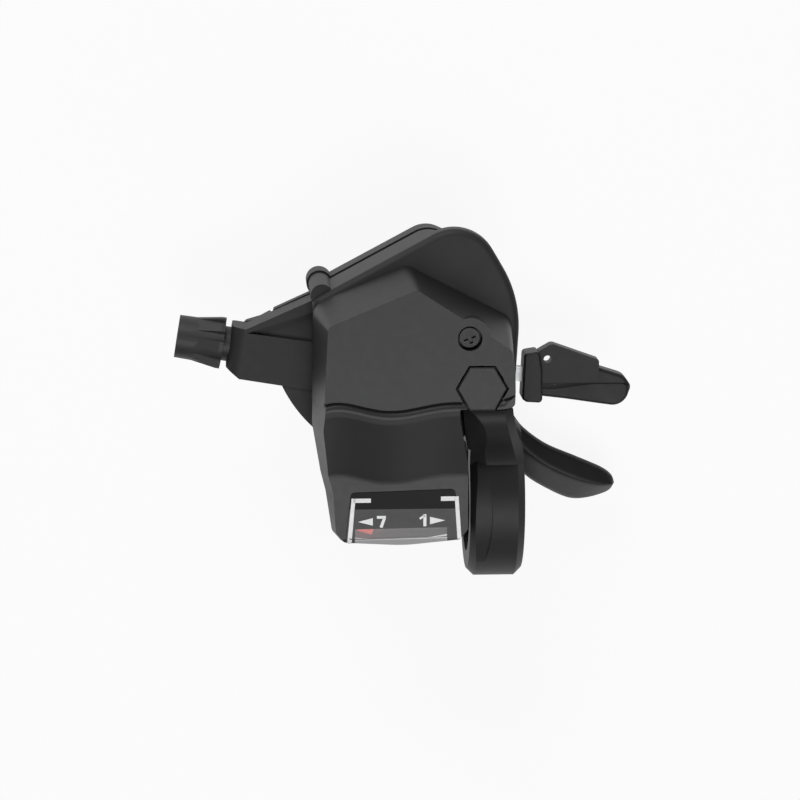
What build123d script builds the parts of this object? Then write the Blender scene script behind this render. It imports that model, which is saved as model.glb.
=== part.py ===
from build123d import *
import os
from math import atan2, cos, degrees, radians, sin, tan

os.makedirs("parts", exist_ok=True)

# Frame: X runs along the handlebar to the outboard end, Y points forward, Z is up.
# The origin is the middle of the handlebar clamp.

# Handlebar clamp
BAR_BORE_R = 11.1
RING_R = 16.0
RING_HALF = 5.4
RING_CHAMFER = 1.4
BOLT_AT = (-4.0, 26.0)
EAR_R = 4.8
EAR_LOW = 0.0
SLIT_LOW = 5.0
SLIT_HIGH = 8.0
EAR_TOP = 16.0
NECK_TOP = 20.6
BOLT_R = 2.5
BOLT_HEAD_R = 4.25
BOLT_HEAD_H = 4.8
HEX_KEY = 4.0
NUT_R = 3.5

# Heights of the housing
FACE_Z = 25.0
DECK_EDGE = 8.4
DECK_TOP = 13.0
DECK_LOW = 11.4
SPLIT_Z = -3.0
FLOOR_TOP = -12.2
FLOOR_LOW = -14.0
WALL = 1.6
SEAM = 0.1
CLEAR = 0.3
RUN = 0.05

# Shaft of the mechanism and the cable drum
AXLE = (-17.5, 35.3)
AXLE_R = 3.0
JOURNAL_R = 2.0
CABLE_R = 9.6
CABLE_Z = 1.0
FLANGE_R = 10.2
DRUM_LOW = -2.4
DRUM_HIGH = 4.4
HUB_R = 5.7
HUB_HIGH = 10.9
TEETH = 20
CLICK = 360.0 / TEETH
CLICKS = 6
DRUM_SWING = CLICK * CLICKS
TIP_R = 10.4
TOOTH_DEPTH = 1.4
ROOT_R = TIP_R - TOOTH_DEPTH
RATCHET_LOW = -3.8
RATCHET_HIGH = -2.6
KEY_R = 5.4

# Pawls
PAWL_STAND = 3.6
PAWL_PIVOT_R = TIP_R + PAWL_STAND
PAWL_EYE_R = 2.0
PAWL_PIN_R = 1.2
PAWL_REACH = 27.0
PAWL_LIFT = 0.35
HOLD_ANGLE = 159.0
DRIVE_ANGLE = HOLD_ANGLE + 3 * CLICK

# Plan of the housing: its left side and front leave room for the pawls
SIDE_X = AXLE[0] - PAWL_PIVOT_R - 4.7
SIDE_Y = AXLE[1] + 0.46 * PAWL_PIVOT_R
FRONT_Y = AXLE[1] + PAWL_PIVOT_R + 4.9
REAR_CORNERS = [(-5.8, 18.6), (-5.8, 13.8), (-32.0, 13.8), (SIDE_X, 20.0)]
REAR_ROUND = [1.0, 2.0, 4.0, 3.0]
DECK = [(SIDE_X, SIDE_Y), (-5.2, FRONT_Y + 4.2), (4.55, 41.7), (3.1, 18.6), *REAR_CORNERS]
DECK_ROUND = [2.0, 8.7, 23.0, 3.0, *REAR_ROUND]
CASE = [(SIDE_X, SIDE_Y), (-12.9, FRONT_Y), (-1.0, FRONT_Y - 5.6), (3.6, 40.0), (2.6, 18.6), *REAR_CORNERS]
CASE_ROUND = [2.0, 5.5, 5.0, 8.0, 2.0, *REAR_ROUND]
RIM_ROUND = 1.4
SLIT_H = 3.0
SLIT_DEEP = 0.9

# Side wing: a ledge in front of the adjuster's boss and a web behind it
WING_TOP = 6.4
SHELF_Z = 5.2
WEB_R = 27.3
WING_TIP = (-49.6, 34.9)
SHELF = [(-49.0, 34.3), (-36.0, 38.4), (-36.0, 32.4)]
LIP_TIP = [(-43.6, 37.7), (-43.9, 36.6), (-44.4, 37.1), (-46.3, 36.1), (-49.1, 35.3), (-50.3, 34.1), (-48.6, 32.6)]
LIP_H = 3.0
BUMP_R = 2.6

# Levers on the shaft
RELEASE_LOW = -5.8
RELEASE_HIGH = -4.2
DRIVE_LOW = -11.4
DRIVE_HIGH = -9.8
MAIN_LOW = -16.4
MAIN_HIGH = -14.8
TUBE_R = 4.8
LEVER_HUB_R = 6.0
SPACER_R = 4.2

# Gear display
NEEDLE_BACK = 11.0
NEEDLE_REACH = 29.5
NEEDLE_HALF_SWING = 15.1
NEEDLE_PIN_R = 1.4
CRANK_PIN_R = 1.0
WINDOW_MID = (-18.7, -4.4)
NEEDLE_LOW = 14.0
NEEDLE_HIGH = 15.1
FLAG_LENGTH = 2.0
FLAG_WIDTH = 3.0
FLAG_TOP = 16.0

# Cable adjuster
BARREL_TILT = 9.4
BOSS_FACE = 34.0
BOSS_BACK = 14.0
BOSS_FRONT = 4.2
BOSS_REAR = -5.8
BOSS_WALL = 1.2
BOSS_ROUND = 2.9
BOSS_CORNER = (1.7, 2.9)
KNOB_IN = 35.2
KNOB_LENGTH = 9.2
KNOB_BIG_R = 5.05
KNOB_BODY_R = 4.45
KNOB_END_R = 4.25
KNOB_RIBS = 8
RIB_WIDTH = 1.9
RIB_LENGTH = 5.6
SLEEVE_R = 3.45
SLEEVE_DEPTH = 5.2
THREAD_R = 2.5
FERRULE_R = 2.6
FERRULE_DEPTH = 6.0
WIRE_R = 1.0

# Top cover: foot on the deck, crown at the flat face
COVER_FOOT = [(-36.5, 22.5), (-36.2, 41.0), (-18.0, 48.6), (2.4, 38.2), (3.2, 30.0), (3.0, 21.5), (-8.0, 21.5)]
COVER_FOOT_ROUND = [0.0, 4.0, 3.0, 3.0, 8.0, 1.0, 0.0]
COVER_CROWN = [(-34.4, 22.5), (-33.6, 38.2), (-16.6, 45.3), (1.7, 33.5), (2.4, 29.0), (2.5, 21.9), (-8.0, 21.9)]
COVER_CROWN_ROUND = [0.0, 1.5, 2.0, 1.6, 8.0, 0.8, 0.0]
HOOD_FOOT = [(-36.3, 30.0), (-36.5, 17.5), (-34.9, 8.0), (-33.9, 4.0), (-32.7, -4.0), (-30.8, -6.2),
             (-18.7, -6.9), (-7.4, -5.7), (-5.9, -3.4), (-5.9, 9.8), (-7.8, 20.0), (-7.8, 30.0)]
HOOD_CROWN = [(-33.9, 30.0), (-34.2, 17.5), (-31.9, 8.0), (-30.3, 4.0), (-30.9, -3.4), (-29.6, -4.8),
              (-18.7, -5.4), (-8.2, -4.4), (-6.5, -3.0), (-6.5, 9.8), (-8.2, 20.0), (-8.2, 30.0)]
HOOD_ROUND = [0.0, 6.0, 6.0, 6.0, 1.6, 1.2, 30.0, 1.0, 1.5, 6.0, 6.0, 0.0]
COVER_WALL = 1.6

# Sweep of the cover's top from the flat face down to the display, waved across X
EDGE_Y = 22.1
FOOT_Y = 6.3
BEND_Y = 0.6
LIP_Y = -5.0
END_Y = -14.0
WAVE = [(-42.0, 1.1), (-35.0, 1.1), (-28.3, 1.2), (-21.3, 0.0), (-14.0, 1.1), (-8.0, 1.6), (-2.0, 1.6), (8.0, 1.6)]
GROOVE_Z = 24.0
GROOVE_WIDTH = 0.4
CREST_Z = 24.7
CREST_BACK = 1.6
ROLL_Z = 24.2
ROLL_WIDTH = 3.2
SLOPE_Z = 18.4
BEND_Z = 17.7
LIP_Z = 17.6
LIP_FALL = 0.65

# Screw, plug, corner bevel, label and window of the cover
SCREW_AT = (-6.4, 35.8)
SCREW_BULGE_R = 4.0
SCREW_HEAD_R = 1.9
SCREW_WELL_R = 2.4
SCREW_TOP = FACE_Z - 1.3
SCREW_SEAT = FACE_Z - 2.7
SCREW_SHANK_R = 1.2
SCREW_POST_R = 2.0
PLUG_R = 4.9
PLUG_GAP = 0.3
PLUG_SEAT = 22.8
BEVEL_AT = (1.9, 24.6, FACE_Z)
BEVEL_FACING = (0.64, -0.53, 0.55)
LABEL = [(-29.0, 4.4), (-8.8, 5.0), (-7.3, -8.0), (-30.4, -8.0)]
WINDOW = [(-28.9, -1.7), (-9.0, -1.3), (-8.2, -8.0), (-29.6, -8.0)]
LENS_DEPTH = 0.6

# Screws that hold the lower cover
CASE_SCREWS = [(SIDE_X + 1.8, SIDE_Y + 0.7), (-8.6, FRONT_Y - 6.0), (SIDE_X + 4.6, 19.4)]
CASE_POST_R = 2.2
CASE_HEAD_R = 2.2
CASE_SHANK_R = 1.2


def post(radius, low, high, at=(0.0, 0.0)):
    """Upright cylinder between two heights."""
    body = Cylinder(radius, high - low, align=(Align.CENTER, Align.CENTER, Align.MIN))
    return Pos(at[0], at[1], low) * body


def plate(face, low, high):
    """Flat plate of one plan between two heights."""
    return extrude(Pos(0, 0, low) * face, amount=high - low)


def outline(points, rounding):
    """Closed plan from its corners and the rounding of each."""
    return make_face(FilletPolyline(*points, radius=rounding, close=True))


def disc(radius, at):
    """Round plan at one place."""
    return Pos(at[0], at[1]) * Circle(radius)


def bridge(radius_a, at_a, radius_b, at_b):
    """Plan of a bar with two round ends of their own size."""
    return make_hull(disc(radius_a, at_a).edges() + disc(radius_b, at_b).edges())


def around_axle(radius, angle):
    """Plan point at a radius and an angle from the shaft."""
    return (AXLE[0] + radius * cos(radians(angle)), AXLE[1] + radius * sin(radians(angle)))


def slab(x0, x1, y0, y1, z0, z1):
    """Box between two corners."""
    return Pos((x0 + x1) / 2, (y0 + y1) / 2, (z0 + z1) / 2) * Box(x1 - x0, y1 - y0, z1 - z0)


# Line of the cable: it leaves the drum at a tangent and runs out through the adjuster
tilt = radians(BARREL_TILT)
cable_exit = (AXLE[0] - CABLE_R * sin(tilt), AXLE[1] - CABLE_R * cos(tilt))
barrel = Location(Plane(origin=(*cable_exit, CABLE_Z), x_dir=(0, 0, 1), z_dir=(-cos(tilt), sin(tilt), 0)))


def on_barrel(radius, near, far, far_radius=None):
    """Round body on the adjuster's line between two distances from the drum."""
    if far_radius is None:
        body = Cylinder(radius, far - near, align=(Align.CENTER, Align.CENTER, Align.MIN))
    else:
        body = Cone(radius, far_radius, far - near, align=(Align.CENTER, Align.CENTER, Align.MIN))
    return barrel * Pos(0, 0, near) * body


def boss_form(grow):
    """Block of the adjuster's boss with a rounded top edge and one cut corner, grown on every side."""
    low = -SLEEVE_R - BOSS_WALL - grow
    high = WING_TOP - CABLE_Z + grow
    front = BOSS_FRONT + grow
    rear = BOSS_REAR - grow
    face = BOSS_FACE + grow
    side = FilletPolyline((low, BOSS_BACK), (low, face), (high, face), (high, BOSS_BACK),
                          radius=[0.0, 1.0, BOSS_ROUND, 0.0], close=True)
    block = extrude(Plane.XZ.offset(-front) * make_face(side), amount=front - rear)
    corner = Polyline((rear - 2, face - BOSS_CORNER[1]), (rear, face - BOSS_CORNER[1]), (rear + BOSS_CORNER[0], face),
                      (rear + BOSS_CORNER[0], face + 2), (rear - 2, face + 2), close=True)
    block -= extrude(Plane.YZ.offset(-20) * make_face(corner), amount=40)
    return barrel * block


# Handlebar clamp band with its neck and two ears
def neck_section(y, left, right, top, flat, shoulder):
    """Upright section of the neck: a flat on top between two sloping shoulders."""
    return Plane(origin=(0, y, 0), x_dir=(1, 0, 0), z_dir=(0, -1, 0)) * make_face(Polyline(
        (left, EAR_LOW + 4), (right, EAR_LOW + 4), (right, top - shoulder), (flat[1], top), (flat[0], top),
        (left, top - shoulder), close=True))


ear_left = BOLT_AT[0] - EAR_R
ear_right = BOLT_AT[0] + EAR_R
ear_plan = disc(EAR_R, BOLT_AT)
ear_plan += make_face(Polyline((ear_left, BOLT_AT[1]), (-RING_HALF, 13.0), (RING_HALF - 1.6, 13.0), (2.6, 20.0),
                               (ear_right, BOLT_AT[1] - 1.5), (ear_right, BOLT_AT[1]), close=True))
ring = Rot(0, 90, 0) * Cylinder(RING_R, 2 * RING_HALF)
ring = chamfer(ring.edges().filter_by(GeomType.CIRCLE), RING_CHAMFER)
neck = loft([neck_section(21.0, -7.3, 2.5, NECK_TOP, (-6.0, 0.8), 1.4),
             neck_section(17.6, -6.9, 3.1, NECK_TOP - 0.4, (-3.2, 1.4), 2.0),
             neck_section(12.5, -6.1, 4.7, 15.6, (-2.6, 2.9), 1.8),
             neck_section(8.4, -RING_HALF, RING_HALF - 0.1, 13.3, (-2.0, 3.9), 1.4)])
neck -= slab(-20, -RING_HALF, 0, 30, 0, DECK_TOP + 2 * CLEAR)
ear_back = slab(ear_left - 1, RING_HALF, 0, 16.4, SLIT_HIGH, EAR_TOP + 1)
clamp_band = ring + neck + (plate(ear_plan, EAR_LOW, EAR_TOP) - ear_back)
flat_edge = ThreePointArc((-2.4, 9.0), (-1.1, 0.0), (-2.6, -12.0))
flat_rest = Polyline((-2.6, -12.0), (-9.0, -12.0), (-9.0, 9.0), (-2.4, 9.0))
flat_side = plate(make_face([flat_edge, flat_rest]), RING_R - 8, RING_R + 4)
clamp_band -= flat_side - Pos(0, 0.57, -3.0) * Rot(0, 90, 0) * Cylinder(RING_R + 2.64, 60)
clamp_band -= Rot(0, 90, 0) * Cylinder(BAR_BORE_R, 4 * RING_HALF)
clamp_band -= slab(-20, 20, BAR_BORE_R / 2, 40, SLIT_LOW, SLIT_HIGH)
clamp_band -= post(BOLT_R + 0.2, EAR_LOW - 1, EAR_TOP + 1, BOLT_AT)
clamp_band -= post(BOLT_HEAD_R + CLEAR, EAR_TOP, FACE_Z, BOLT_AT)
clamp_band -= post(NUT_R, EAR_LOW - 1, SLIT_LOW - 1.2, BOLT_AT)

clamp_bolt = post(BOLT_HEAD_R, EAR_TOP, EAR_TOP + BOLT_HEAD_H, BOLT_AT)
clamp_bolt += post(BOLT_R, EAR_LOW, EAR_TOP, BOLT_AT)
hex_key = RegularPolygon(HEX_KEY / 2, 6, major_radius=False)
clamp_bolt -= plate(Pos(*BOLT_AT) * hex_key, EAR_TOP + BOLT_HEAD_H - 2.6, EAR_TOP + BOLT_HEAD_H + 1)
clamp_nut = post(NUT_R - 0.02, EAR_LOW + 0.2, SLIT_LOW - 1.2, BOLT_AT)
clamp_nut -= post(BOLT_R + 0.01, EAR_LOW - 1, SLIT_LOW, BOLT_AT)

# Base housing: a deck with a rounded front that overhangs the walls below it
bump_at = CASE_SCREWS[0]
deck_plan = outline(DECK, DECK_ROUND)
case_plan = outline(CASE, CASE_ROUND)
case_inner = offset(case_plan, amount=-WALL, kind=Kind.INTERSECTION)
inside = plate(case_inner, SPLIT_Z - 9, DECK_LOW)
base = plate(deck_plan, DECK_EDGE, DECK_TOP)
base = fillet(base.edges().group_by(Axis.Z)[-1], RIM_ROUND)
base += plate(case_plan, SPLIT_Z, DECK_TOP - RIM_ROUND)
base += post(BUMP_R, SPLIT_Z, DECK_TOP - 2.0, bump_at)

# Side wing with the boss of the adjuster
ledge = make_face(Polyline((SIDE_X + 0.6, SIDE_Y - 0.7), WING_TIP, (WING_TIP[0], WING_TIP[1] - 5),
                           (SIDE_X + 0.6, 28.0), close=True))
web = make_face(Polyline((-45.0, 10.0), (SIDE_X + 2.4, 10.0), (SIDE_X + 2.4, 30.0), (-45.0, 30.0), close=True))
web &= disc(WEB_R, AXLE)
base += plate(ledge, SPLIT_Z, WING_TOP)
base += plate(web, SPLIT_Z, WING_TOP - 0.3)
base += boss_form(0)
base -= plate(make_face(Polyline(*SHELF, close=True)), SHELF_Z, WING_TOP + 1) - plate(case_plan, SPLIT_Z, DECK_TOP)
base -= inside

# Wall round the clamp's ears, posts and pivots inside the housing
notch = offset(ear_plan, amount=CLEAR)
notch_wall = offset(ear_plan, amount=CLEAR + 0.8)
base += plate(notch_wall, SPLIT_Z, DECK_TOP - RIM_ROUND) & plate(case_plan, SPLIT_Z, DECK_TOP)
base -= plate(notch, EAR_LOW - 1.2, DECK_TOP + 1)
base -= slab(-RING_HALF - 0.4, 20.0, 0.0, 21.0 + CLEAR, EAR_LOW - 1.2, DECK_TOP + 1)
hold_pivot = around_axle(PAWL_PIVOT_R, HOLD_ANGLE)
for spot in CASE_SCREWS:
    base += post(CASE_POST_R, SPLIT_Z, DECK_LOW, spot)
    base -= post(CASE_SHANK_R + 0.01, SPLIT_Z - 1, DECK_LOW - 3, spot)
base += post(CASE_POST_R, RATCHET_HIGH + 0.2, DECK_LOW, hold_pivot)
base -= post(PAWL_PIN_R + 0.01, SPLIT_Z - 1, DECK_LOW - 4, hold_pivot)

# Tongue under the display, posts on the deck, shaft bearing and the crank's slot
tongue = outline([(-34.4, 16.0), (-32.0, 2.0), (-31.4, -3.0), (-29.8, -4.6), (-7.2, -4.4), (-6.1, -3.0),
                  (-6.1, 9.8), (-7.6, 16.0)], [0.0, 4.0, 1.5, 1.5, 1.0, 1.5, 4.0, 0.0])
base += plate(tongue, DECK_LOW + 0.2, DECK_TOP)
sight = (WINDOW_MID[0] - AXLE[0], WINDOW_MID[1] - AXLE[1])
sight_angle = degrees(atan2(sight[1], sight[0]))
needle_at = around_axle(NEEDLE_BACK, sight_angle)
half = radians(DRUM_SWING / 2)
lean = tan(radians(NEEDLE_HALF_SWING))
CRANK_R = NEEDLE_BACK * lean / (sin(half) - lean * cos(half))
crank_rest = sight_angle + 180.0 - DRUM_SWING / 2
base += post(NEEDLE_PIN_R, DECK_TOP - 0.5, NEEDLE_HIGH + 0.4, needle_at)
base += post(NEEDLE_PIN_R + 1.0, DECK_TOP - 0.5, NEEDLE_LOW - RUN, needle_at)
base += post(SCREW_POST_R, DECK_TOP - 0.5, FACE_Z - 4.2, SCREW_AT)
base -= post(SCREW_SHANK_R + 0.01, DECK_TOP + 1.0, FACE_Z, SCREW_AT)
base -= post(JOURNAL_R + RUN, DECK_LOW - 1, DECK_TOP + 1, AXLE)
crank_path = CenterArc(AXLE, CRANK_R, crank_rest, DRUM_SWING)
base -= plate(SlotArc(crank_path, height=2 * (CRANK_PIN_R + CLEAR)), DECK_LOW - 1, DECK_TOP + 1)

# Bores of the adjuster's boss
base -= on_barrel(SLEEVE_R + RUN, BOSS_FACE - SLEEVE_DEPTH, BOSS_FACE + 1)
base -= on_barrel(THREAD_R, 19.0, BOSS_FACE)
base -= on_barrel(WIRE_R, 6.0, 20.0)
base_housing = base

# Lower cover, with a dark slit under the base and a mouth for the release lever
lower_plan = case_plan + disc(BUMP_R, bump_at)
slit_plan = offset(case_plan, amount=-SLIT_DEEP, kind=Kind.INTERSECTION) + disc(BUMP_R - SLIT_DEEP, bump_at)
lower = plate(case_plan, FLOOR_LOW, SPLIT_Z - SEAM)
lower = chamfer(lower.edges().group_by(Axis.Z)[0], 1.2)
lower += post(BUMP_R, FLOOR_LOW + 1.2, SPLIT_Z - SEAM, bump_at)
lower -= plate(lower_plan, SPLIT_Z - SLIT_H, SPLIT_Z + 1) - plate(slit_plan, SPLIT_Z - SLIT_H - 1, SPLIT_Z + 2)
lip = make_face(Polyline((SIDE_X + 0.2, SIDE_Y - 0.6), *LIP_TIP, (SIDE_X + 0.2, SIDE_Y - 4.4), close=True))
lower += plate(lip, SPLIT_Z - LIP_H, SPLIT_Z - SEAM)
lower -= plate(case_inner, FLOOR_TOP, SPLIT_Z + 1)
for spot in CASE_SCREWS:
    lower += post(CASE_POST_R, FLOOR_TOP - 0.5, SPLIT_Z - SEAM, spot)
    lower -= post(CASE_SHANK_R + 0.2, FLOOR_LOW - 1, SPLIT_Z + 1, spot)
    lower -= post(CASE_HEAD_R + 0.15, FLOOR_LOW - 1, FLOOR_LOW + 1.6, spot)
lower -= boss_form(CLEAR)
lower -= post(TUBE_R + RUN, FLOOR_LOW - 1, FLOOR_TOP + 1, AXLE)
mouth = make_face(Polyline(AXLE, around_axle(60, -52), around_axle(60, 0), close=True))
lower -= plate(mouth, RELEASE_LOW - 0.5, SPLIT_Z + 1)
lower_cover = lower

case_screws = []
for spot in CASE_SCREWS:
    screw = post(CASE_HEAD_R, FLOOR_LOW + 0.1, FLOOR_LOW + 1.6, spot)
    screw += post(CASE_SHANK_R, FLOOR_LOW + 1.6, 6.0, spot)
    for turn in (0, 90):
        screw -= Pos(*spot, FLOOR_LOW) * Rot(0, 0, turn) * Box(2.8, 0.6, 1.8)
    case_screws.append(screw)
lower_cover_screws = Compound(children=[screw.solid() for screw in case_screws])


# Top cover
def cover_form(inset, foot_z):
    """Solid bounded by the cover's outer face drawn in by an inset."""
    foot = offset(outline(COVER_FOOT, COVER_FOOT_ROUND), amount=-inset, kind=Kind.INTERSECTION)
    crown = offset(outline(COVER_CROWN, COVER_CROWN_ROUND), amount=-inset, kind=Kind.INTERSECTION)
    hood_foot = offset(outline(HOOD_FOOT, HOOD_ROUND), amount=-inset, kind=Kind.INTERSECTION)
    hood_crown = offset(outline(HOOD_CROWN, HOOD_ROUND), amount=-inset, kind=Kind.INTERSECTION)
    form = loft([Pos(0, 0, DECK_TOP) * foot, Pos(0, 0, FACE_Z) * crown], ruled=True)
    form += loft([Pos(0, 0, DECK_TOP) * hood_foot, Pos(0, 0, FACE_Z) * hood_crown], ruled=True)
    if inset == 0:
        form += post(SCREW_BULGE_R, DECK_TOP, FACE_Z, SCREW_AT)
    drop = 1.08 * inset
    groove_z = GROOVE_Z
    crest_z = CREST_Z
    crest_round = 1.2
    if inset > 0:
        groove_z = ROLL_Z - drop
        crest_z = ROLL_Z - drop
        crest_round = 0.0
    sections = []
    for x, wave in WAVE:
        edge = EDGE_Y + wave
        profile = FilletPolyline((edge, FACE_Z + 4), (edge, groove_z), (edge - GROOVE_WIDTH, groove_z),
                                 (edge - CREST_BACK, crest_z), (edge - ROLL_WIDTH, ROLL_Z - drop),
                                 (FOOT_Y + wave, SLOPE_Z - drop), (BEND_Y, BEND_Z - drop), (LIP_Y, LIP_Z - drop),
                                 (END_Y, LIP_Z - drop - LIP_FALL * (LIP_Y - END_Y)), (END_Y, FACE_Z + 4),
                                 radius=[0.0, 0.0, 0.0, crest_round, 2.0, 3.0, 6.0, 0.6, 0.0, 0.0], close=True)
        sections.append(Plane.YZ.offset(x) * make_face(profile))
    form -= loft(sections)
    form -= slab(-60, 20, -20, 70, FACE_Z - inset, FACE_Z + 5)
    if foot_z < DECK_TOP:
        form += plate(offset(outline(COVER_FOOT, COVER_FOOT_ROUND), amount=-inset, kind=Kind.INTERSECTION),
                      foot_z, DECK_TOP)
        form += plate(offset(outline(HOOD_FOOT, HOOD_ROUND), amount=-inset, kind=Kind.INTERSECTION),
                      foot_z, DECK_TOP)
    return form


outer = cover_form(0, DECK_TOP)
label_plan = outline(LABEL, [0.8, 0.8, 0.0, 0.0])
skin = outer - cover_form(LENS_DEPTH, DECK_TOP)
top_cover = outer - cover_form(COVER_WALL, DECK_TOP - 1)
top_cover += post(SCREW_BULGE_R - 0.2, FACE_Z - 4.0, FACE_Z - 1, SCREW_AT)
top_cover -= post(SCREW_SHANK_R + 0.2, DECK_TOP, FACE_Z + 1, SCREW_AT)
top_cover -= post(SCREW_WELL_R, SCREW_SEAT, FACE_Z + 1, SCREW_AT)
well = Pos(*BOLT_AT) * RegularPolygon(PLUG_R + PLUG_GAP + 1.2, 6)
hex_hole = Pos(*BOLT_AT) * RegularPolygon(PLUG_R + PLUG_GAP, 6)
top_cover += plate(well, EAR_TOP + BOLT_HEAD_H + 0.4, FACE_Z - 1) & outer
top_cover -= plate(hex_hole, PLUG_SEAT, FACE_Z + 1)
top_cover -= post(BOLT_HEAD_R + CLEAR, DECK_TOP, FACE_Z, BOLT_AT)
top_cover -= slab(-8.4, 8.0, 20.6, 24.0, 0.0, NECK_TOP + 0.4)
top_cover -= post(SCREW_POST_R + SEAM, DECK_TOP - 1, FACE_Z - 4.0, SCREW_AT)
top_cover -= skin & plate(offset(label_plan, amount=SEAM), DECK_TOP, FACE_Z)
top_cover -= plate(outline(WINDOW, [0.6, 0.6, 0.0, 0.0]), DECK_TOP, FACE_Z)
top_cover -= Plane(origin=BEVEL_AT, z_dir=BEVEL_FACING) * Pos(0, 0, 3) * Box(12, 12, 6)
display_lens = skin & plate(label_plan, DECK_TOP, FACE_Z)

cover_screw = post(SCREW_HEAD_R, SCREW_SEAT, SCREW_TOP, SCREW_AT)
cover_screw += post(SCREW_SHANK_R, DECK_TOP + 2.0, SCREW_SEAT, SCREW_AT)
for turn in (20, 110):
    cover_screw -= Pos(*SCREW_AT, SCREW_TOP) * Rot(0, 0, turn) * Box(2.4, 0.7, 1.6)
hex_plug = plate(Pos(*BOLT_AT) * RegularPolygon(PLUG_R, 6), PLUG_SEAT, FACE_Z)
hex_plug = chamfer(hex_plug.edges().group_by(Axis.Z)[-1], 0.3)

# Shaft, its nut, washers and the spacer between the levers
main_axle = post(JOURNAL_R, DECK_LOW - RUN, DECK_TOP - 0.1, AXLE)
main_axle += post(AXLE_R, MAIN_LOW - 0.6, DECK_LOW - RUN, AXLE)
main_axle += post(BOLT_R, MAIN_LOW - 4.0, MAIN_LOW - 0.6, AXLE)
nut_plan = Pos(*AXLE) * RegularPolygon(4.0, 6, major_radius=False)
axle_nut = plate(nut_plan, MAIN_LOW - 3.4, MAIN_LOW - 0.6) - post(BOLT_R + 0.01, MAIN_LOW - 9, MAIN_LOW, AXLE)
washer_heights = [(MAIN_LOW - 0.55, MAIN_LOW - RUN), (MAIN_HIGH + RUN, FLOOR_LOW - RUN),
                  (RELEASE_HIGH + RUN, RATCHET_LOW - RUN)]
washers = []
for low, high in washer_heights:
    inner = AXLE_R + RUN
    if high > FLOOR_LOW - 1 and high < FLOOR_LOW:
        inner = TUBE_R + RUN
    washers.append(post(inner + 2.0, low, high, AXLE) - post(inner, low - 1, high + 1, AXLE))
shaft_washers = Compound(children=[washer.solid() for washer in washers])
lever_spacer = post(SPACER_R, DRIVE_HIGH + RUN, RELEASE_LOW - RUN, AXLE)
lever_spacer -= post(AXLE_R + RUN, DRIVE_HIGH, RELEASE_LOW, AXLE)

# Cable drum with its crank pin, and the ratchet plate keyed under it
drum = post(FLANGE_R, DRUM_LOW, DRUM_HIGH, AXLE) + post(HUB_R, DRUM_HIGH, HUB_HIGH, AXLE)
key_plan = Pos(*AXLE) * RegularPolygon(KEY_R, 6)
drum += plate(key_plan, RATCHET_LOW, DRUM_LOW)
drum += post(CRANK_PIN_R, HUB_HIGH - 1, NEEDLE_HIGH + 0.6, around_axle(CRANK_R, crank_rest))
drum -= Pos(*AXLE, CABLE_Z) * Torus(CABLE_R + 0.15, 0.75)
drum -= post(AXLE_R + RUN, RATCHET_LOW - 1, HUB_HIGH + 1, AXLE)
nipple_at = around_axle(CABLE_R - 1.9, -72)
drum -= post(2.3, CABLE_Z - 2.2, DRUM_HIGH + 1, nipple_at)
cable_drum = drum

teeth = []
for tooth in range(TEETH):
    face_angle = HOLD_ANGLE + PAWL_REACH + 4.0 + tooth * CLICK
    teeth.append(around_axle(ROOT_R, face_angle - 0.6))
    teeth.append(around_axle(TIP_R, face_angle))
    teeth.append(around_axle(TIP_R - 0.15, face_angle + 2.0))
ratchet_plate = plate(make_face(Polyline(*teeth, close=True)), RATCHET_LOW, RATCHET_HIGH)
ratchet_plate -= plate(offset(key_plan, amount=0.02, kind=Kind.INTERSECTION), RATCHET_LOW - 1, RATCHET_HIGH + 1)


def spiral_spring(inner, outer_r, turns, strip, low, high, start):
    """Flat strip wound from an inner to an outer radius, standing between two heights."""
    inside = []
    outside = []
    count = int(turns * 10)
    for step in range(count + 1):
        share = step / count
        radius = inner + (outer_r - strip - inner) * share
        inside.append(around_axle(radius, start + 360 * turns * share))
        outside.append(around_axle(radius + strip, start + 360 * turns * share))
    edges = [Spline(*inside), Line(inside[-1], outside[-1]), Spline(*outside), Line(outside[0], inside[0])]
    return plate(make_face(edges), low, high)


drum_return_spring = spiral_spring(HUB_R + 0.3, FLANGE_R, 3.0, 0.5, DRUM_HIGH + 0.6, HUB_HIGH - 1.0, 40)
release_lever_spring = spiral_spring(SPACER_R + 0.3, 7.8, 2.0, 0.5, RELEASE_LOW - 1.6, RELEASE_LOW - 0.2, 200)
main_lever_spring = spiral_spring(SPACER_R + 0.3, 8.6, 2.5, 0.6, DRIVE_HIGH + 0.2, RELEASE_LOW - 1.9, 60)


# Pawls: an eye on its pin and a beak that points into the next notch
def pawl(angle):
    """Pawl lifted clear of the ratchet, its eye at the given angle round the shaft."""
    pivot = around_axle(PAWL_PIVOT_R, angle)
    tip = around_axle(TIP_R + PAWL_LIFT, angle + PAWL_REACH)
    back = around_axle(TIP_R + PAWL_LIFT + 1.1, angle + PAWL_REACH - 1.0)
    root_in = around_axle(PAWL_PIVOT_R - PAWL_EYE_R + 0.05, angle + 1.0)
    root_out = around_axle(PAWL_PIVOT_R + PAWL_EYE_R - 0.4, angle + 4.0)
    shape = disc(PAWL_EYE_R, pivot) + make_face(Polyline(tip, back, root_out, pivot, root_in, close=True))
    eye = post(PAWL_PIN_R + RUN, RATCHET_LOW - 1, RATCHET_HIGH + 1, pivot)
    return plate(shape, RATCHET_LOW, RATCHET_HIGH) - eye


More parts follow.
